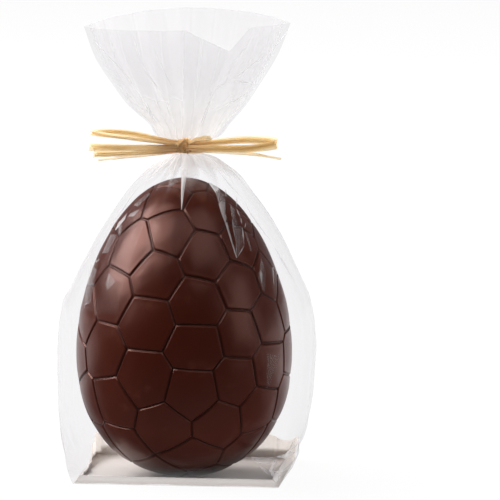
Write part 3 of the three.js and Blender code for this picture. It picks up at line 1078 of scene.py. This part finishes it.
# The knot: a core under strands that cross it
knot = {
    "core": 0.74,  # share of the knot's size
    "reach": 2.4,
    "roll": 0.25,
    "bow": 0.2,
    "strands": [  # slip along x, lift, size, tilt, lean, width
        (-2.6, -0.6, 0.82, -0.35, 0.24, 1), (-1.8, 0.1, 0.94, 0.15, 0.42, 1),
        (-1, -0.2, 1.02, -0.2, 0.3, 0.8), (-0.3, 0.2, 1.08, 0.3, 0.5, 1),
        (0.5, -0.2, 1.06, -0.1, 0.36, 0.9), (1.2, 0.1, 1.02, 0.25, 0.52, 1),
        (1.9, -0.1, 0.94, -0.3, 0.3, 0.9), (2.7, 0.3, 0.84, 0.2, 0.4, 1),
        (-0.9, 0.1, 1.14, 0.6, -0.5, 1), (0.7, -0.2, 1.12, -0.5, -0.6, 0.9),
        (0.1, 0.4, 1.16, 0.75, 0.7, 0.8),
    ],
}

knotCore = bmesh.new()
bmesh.ops.create_uvsphere(knotCore, u_segments=24, v_segments=16, radius=0.5)
bmesh.ops.scale(knotCore, vec=raffia["knotSize"] * knot["core"], verts=knotCore.verts)
bmesh.ops.translate(knotCore, vec=raffia["knotCentre"], verts=knotCore.verts)
makePiece("raffia_knot_core", knotCore, raffiaMaterial, "raffia_knot")
knotTurns = []
for slip, lift, size, tilt, lean, width in knot["strands"]:
    centre, reach = raffia["knotCentre"] + Vector((slip, 0, lift)), knot["reach"] * size
    route = turnRoute(centre, reach, reach, (math.pi / 2, tilt, math.pi / 2 + lean))
    knotTurns.append((route, [(0, width), (1, width)], knot["roll"]))
makeRaffia("raffia_knot", knotTurns, (1, 0, 0), knot["bow"])


# A plain pale floor, soft light from the upper left and above, and nothing bright behind the camera
stage = {
    "floorSize": 8,
    "floorShade": 0.05,
    "floorGlow": {  # for each kind of ray: strength before and behind, and where along +Y it changes
        "Is Camera Ray": (0.94, 0.95, 0.2, 1.5),
        "Is Diffuse Ray": (0.05, 1.6, -0.2, -0.09),
        "Is Glossy Ray": (0.03, 1.05, -0.02, 0.14),
    },
    "skyBehindCamera": 0.02,
    "skyBehindObject": 0.15,
    "skyTurns": (0.35, 0.75),  # between these shares of +Y the sky goes from the one to the other
    "lamps": [  # place, width, height, radiance, and whether gloss shows it
        ("key", (-1.4, -0.1, 1.1), 1.3, 1.1, 7, True),
        ("top", (-0.75, -0.65, 1.5), 0.9, 0.9, 3.5, True),
        ("fill", (0.65, -0.65, 1.4), 1.2, 1, 1.2, True),
        ("right", (1.55, -0.4, 0.5), 0.9, 0.9, 1.2, True),
        ("backLeft", (-0.9, 1, 1.1), 1, 1, 8, False),
        ("rim", (-0.9, 1, 1.1), 1, 1, 4, True),
        ("backRight", (1.1, 0.9, 0.7), 1, 1, 4, False),
    ],
    "aim": (0, -0.01, 0.08),
}


def makeFloor():
    form = bmesh.new()
    bmesh.ops.create_grid(form, x_segments=1, y_segments=1, size=stage["floorSize"] / 2)
    mesh = bpy.data.meshes.new("floor")
    form.to_mesh(mesh)
    form.free()
    finish = Finish(bpy.data.materials.new("pale_floor"))
    behind = finish.axis("Y")
    glow = 0
    for ray, (near, far, start, end) in stage["floorGlow"].items():
        strength = finish.graded(behind, (start, end), near, far)
        glow = glow + finish.node("ShaderNodeLightPath", {}, {}, ray) * strength
    seen = finish.node("ShaderNodeLightPath", {}, {}, "Is Camera Ray")
    lit = finish.node("ShaderNodeBsdfDiffuse", {}, {"Color": seen * stage["floorShade"]})
    own = finish.node("ShaderNodeEmission", {}, {"Strength": glow})
    pale = finish.finish(finish.node("ShaderNodeAddShader", {}, {0: lit, 1: own}))
    pale.cycles.emission_sampling = "NONE"
    mesh.materials.append(pale)
    floor = bpy.data.objects.new("floor", mesh)
    bpy.context.scene.collection.objects.link(floor)


def makeLamp(name, place, width, height, radiance, inGloss):
    lamp = bpy.data.lights.new(name, "AREA")
    lamp.shape = "RECTANGLE"
    lamp.size = width
    lamp.size_y = height
    lamp.energy = radiance * math.pi * width * height
    holder = bpy.data.objects.new(name, lamp)
    holder.location = place
    holder.rotation_euler = (Vector(stage["aim"]) - Vector(place)).to_track_quat("-Z", "Y").to_euler()
    holder.visible_camera = False
    holder.visible_glossy = inGloss
    bpy.context.scene.collection.objects.link(holder)


def makeWorld():
    finish = Finish(bpy.data.worlds.new("studio"))
    heading = finish.node("ShaderNodeTexCoord", {}, {}, "Generated")
    behind = finish.node("ShaderNodeSeparateXYZ", {}, {0: heading}, "Y")
    near, far = stage["skyBehindCamera"], stage["skyBehindObject"]
    sky = finish.graded(behind, stage["skyTurns"], near, far, "SMOOTHSTEP")
    seen = finish.node("ShaderNodeLightPath", {}, {}, "Is Camera Ray")
    strength = finish.larger(sky, seen)
    glow = finish.node("ShaderNodeBackground", {}, {"Color": (1, 1, 1, 1), "Strength": strength})
    bpy.context.scene.world = finish.finish(glow, "ShaderNodeOutputWorld")


makeFloor()
for lampValues in stage["lamps"]:
    makeLamp(*lampValues)
makeWorld()

camera = {
    "azimuth": 6.5,
    "elevation": 8,
    "distance": 2.1,
    "target": (0.0262, -0.007, 0.0918),
    "lens": 378,
}


def makeCamera():
    turn, rise = math.radians(camera["azimuth"]), math.radians(camera["elevation"])
    back = Vector((math.sin(turn) * math.cos(rise), -math.cos(turn) * math.cos(rise), math.sin(rise)))
    made = bpy.data.cameras.new("camera")
    made.lens = camera["lens"]
    made.sensor_width = 36
    made.clip_end = 100
    holder = bpy.data.objects.new("camera", made)
    holder.location = Vector(camera["target"]) + back * camera["distance"]
    holder.rotation_euler = (-back).to_track_quat("-Z", "Y").to_euler()
    bpy.context.scene.collection.objects.link(holder)
    bpy.context.scene.camera = holder
    bpy.context.scene.view_settings.view_transform = "Standard"


makeCamera()
